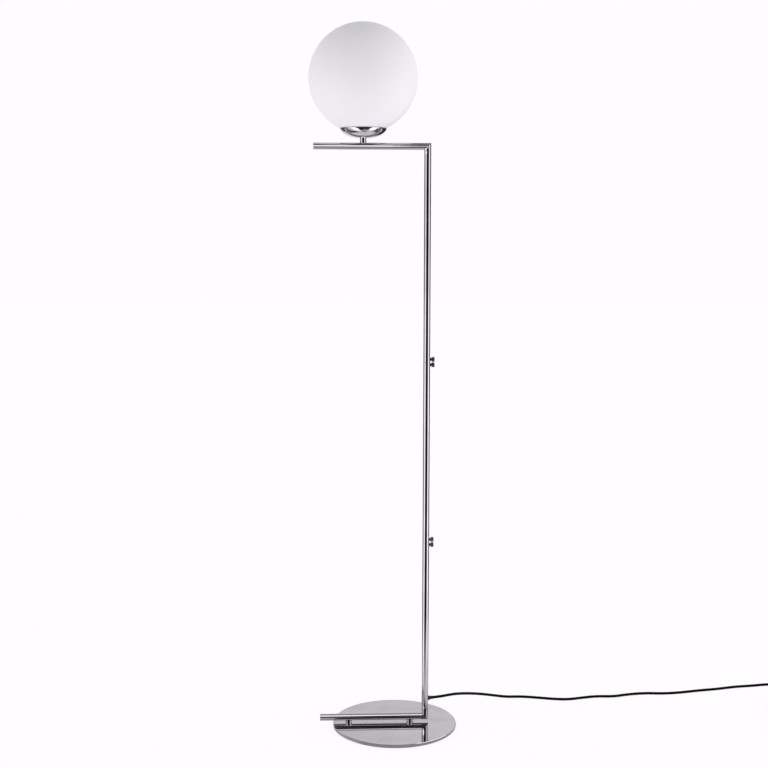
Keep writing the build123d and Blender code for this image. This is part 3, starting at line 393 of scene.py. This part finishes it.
FINISHES = {
    "chrome": polished_metal(
        "chrome", dark=(0.460, 0.443, 0.472), light=(0.540, 0.522, 0.555), smooth=0.012, dull=0.05),
    "steel": polished_metal(
        "steel", dark=(0.44, 0.44, 0.45), light=(0.54, 0.54, 0.55), smooth=0.24, dull=0.36,
        grain=0.15, grain_stretch=(1, 1, 0.1)),
    "brass": polished_metal(
        "brass", dark=(0.62, 0.44, 0.19), light=(0.72, 0.53, 0.25), smooth=0.20, dull=0.34, grain=0.1),
    "nickel": polished_metal(
        "nickel", dark=(0.58, 0.56, 0.52), light=(0.68, 0.66, 0.62), smooth=0.14, dull=0.26, grain=0.05),
    "solder": polished_metal(
        "solder", dark=(0.42, 0.42, 0.43), light=(0.55, 0.55, 0.56), smooth=0.35, dull=0.5, grain=0.4),
    "rubber": moulded(
        "rubber", dark=(0.016, 0.016, 0.017), light=(0.030, 0.030, 0.031), roughness=0.72,
        grain_scale=1400.0, grain=0.35),
    "cord_sheath": moulded(
        "cord_sheath", dark=(0.002, 0.002, 0.002), light=(0.004, 0.004, 0.004), roughness=0.50,
        grain_scale=1800.0, grain=0.12, gloss=0.04),
    "black_plastic": moulded(
        "black_plastic", dark=(0.007, 0.007, 0.008), light=(0.012, 0.012, 0.013), roughness=0.40,
        grain_scale=2600.0, grain=0.2, gloss=0.2),
    "holder_plastic": moulded(
        "holder_plastic", dark=(0.78, 0.77, 0.74), light=(0.84, 0.83, 0.80), roughness=0.34,
        grain_scale=1600.0, grain=0.08),
    "bulb_insulator": moulded(
        "bulb_insulator", dark=(0.012, 0.012, 0.018), light=(0.022, 0.022, 0.03), roughness=0.15,
        grain_scale=900.0, grain=0.03),
    "lead_sheath": moulded(
        "lead_sheath", dark=(0.70, 0.70, 0.69), light=(0.78, 0.78, 0.77), roughness=0.40,
        grain_scale=1500.0, grain=0.08),
    "opal_glass": white_glass(
        "opal_glass", dark=(0.872, 0.857, 0.894), light=(0.892, 0.877, 0.914), smooth=0.48, dull=0.56,
        cloud_scale=9.0, gloss=0.25, etching=0.03),
    "bulb_glass": white_glass(
        "bulb_glass", dark=(0.80, 0.80, 0.79), light=(0.86, 0.86, 0.85), smooth=0.30, dull=0.40,
        cloud_scale=60.0),
}


def dress_cad_nodes():
    """Gives every CAD node the finish of its material slot."""
    for subpart in frame["record"]["subparts"]:
        node = frame["nodes"][subpart["node"]]
        for material_slot in node.material_slots:
            material_slot.material = FINISHES[subpart["material_slot"]]


# ------------------------------------------------------------------ cord
CORD_DIAMETER = 0.0054
FLOOR_CORD_ROUTE = [
    (0.076517, 0.004426, 0.054),
    (0.090040, 0.008049, 0.054),
    (0.106, 0.017, 0.0534),
    (0.121, 0.034, 0.0494),
    (0.139, 0.058, 0.0416),
    (0.163, 0.0855, 0.0312),
    (0.190, 0.1105, 0.0202),
    (0.214, 0.129, 0.0105),
    (0.241, 0.141, 0.0027),
    (0.271, 0.142, 0.0027),
    (0.304, 0.134, 0.0027),
    (0.340, 0.1235, 0.0027),
    (0.368, 0.121, 0.0027),
    (0.398, 0.130, 0.0027),
    (0.430, 0.1375, 0.0027),
    (0.464, 0.134, 0.0027),
    (0.498, 0.146, 0.0027),
    (0.536, 0.1515, 0.0027),
    (0.570, 0.1475, 0.0027),
    (0.606, 0.151, 0.0027),
    (0.650, 0.1625, 0.0027),
    (0.695, 0.1705, 0.0027),
    (0.735, 0.1825, 0.0027),
    (0.770, 0.1865, 0.0027),
    (0.806, 0.194, 0.0027),
    (0.827, 0.193, 0.0027),
    (0.844, 0.1845, 0.0027),
    (0.8555, 0.1705, 0.0049),
    (0.860, 0.157, 0.008),
    (0.860, 0.142, 0.008),
]
TAIL_CORD_ROUTE = [
    (0.860, 0.032, 0.008),
    (0.860, 0.022, 0.008),
    (0.860, 0.006, 0.0027),
    (0.860, -0.004, 0.0027),
]

COIL_CENTRE = Vector((0.8276, -0.030, 0))
COIL_OUTER = 0.0324  # radius of the widest turn's middle line
COIL_LAYER_TURNS = 2.0  # turns in each of the two layers
COIL_CLIMB_TURNS = 0.5
COIL_CLIMB_TUCK = 0.0007  # how far the climbing stretch tucks inside the turns
COIL_POINTS_PER_TURN = 16
PLUG_LEAD_ROUTE = [(0.7952, -0.018, 0.0077), (0.7952, -0.006, 0.00685), (0.7952, 0.004, 0.00685)]


def coil_points():
    """Two turns inwards on the floor, half a turn up on to them, and two turns outwards again."""
    inner = COIL_OUTER - COIL_LAYER_TURNS * CORD_DIAMETER
    climb_end = COIL_LAYER_TURNS + COIL_CLIMB_TURNS
    total = climb_end + COIL_LAYER_TURNS
    swell = 1 / math.cos(math.pi / COIL_POINTS_PER_TURN)  # the spline runs inside its points
    points = []
    for step in range(round(total * COIL_POINTS_PER_TURN) + 1):
        turned = step / COIL_POINTS_PER_TURN
        climbed = min(max((turned - COIL_LAYER_TURNS) / COIL_CLIMB_TURNS, 0), 1)
        if turned <= COIL_LAYER_TURNS:
            radius = COIL_OUTER - turned * CORD_DIAMETER
        else:
            radius = inner + max(turned - climb_end, 0) * CORD_DIAMETER
        radius -= COIL_CLIMB_TUCK * math.sin(math.pi * climbed)
        angle = -2 * math.pi * turned
        height = CORD_DIAMETER * (0.5 + climbed * climbed * (3 - 2 * climbed))
        spoke = Vector((math.cos(angle), math.sin(angle), 0))
        points.append(COIL_CENTRE + spoke * radius * swell + Vector((0, 0, height)))
    return points


def add_cord(name, points, replaced):
    """A round cord on one smooth spline, in the place of its CAD solids."""
    curve = bpy.data.curves.new(name, "CURVE")
    curve.dimensions = "3D"
    curve.bevel_depth = CORD_DIAMETER / 2
    curve.bevel_resolution = 5
    curve.resolution_u = 8
    curve.use_fill_caps = True
    spline = curve.splines.new("NURBS")
    spline.points.add(len(points) - 1)
    for spline_point, point in zip(spline.points, points):
        spline_point.co = (*point, 1)
    spline.order_u = 3
    spline.use_endpoint_u = True
    cord = bpy.data.objects.new(name, curve)
    bpy.context.scene.collection.objects.link(cord)
    curve.materials.append(FINISHES["cord_sheath"])
    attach(cord, "base")
    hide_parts(*replaced)
    return cord


def add_cords():
    """The cord from the post to the foot switch, and from there through its coil to the plug."""
    first = add_cord("floor_cord_flex", FLOOR_CORD_ROUTE, ["floor_cord"])
    second = add_cord("tail_cord_flex", TAIL_CORD_ROUTE + coil_points() + PLUG_LEAD_ROUTE,
                      ["tail_cord", "cord_coil"])


def add_switch_spring():
    """The foot switch's spring, a copy of its CAD node that moves with the button."""
    node = frame["nodes"]["switch_spring"]
    spring = bpy.data.objects.new("switch_spring_coil", node.data.copy())
    bpy.context.scene.collection.objects.link(spring)
    spring.matrix_world = node.matrix_world.copy()
    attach(spring, "button")
    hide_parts("switch_spring")
    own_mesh(spring)


add_camera()
add_world()
add_floor()
for strip_row in STRIP_ROWS:
    add_strips(*strip_row)
dress_cad_nodes()
add_switch_spring()
add_cords()

bpy.context.scene.view_settings.view_transform = "Standard"
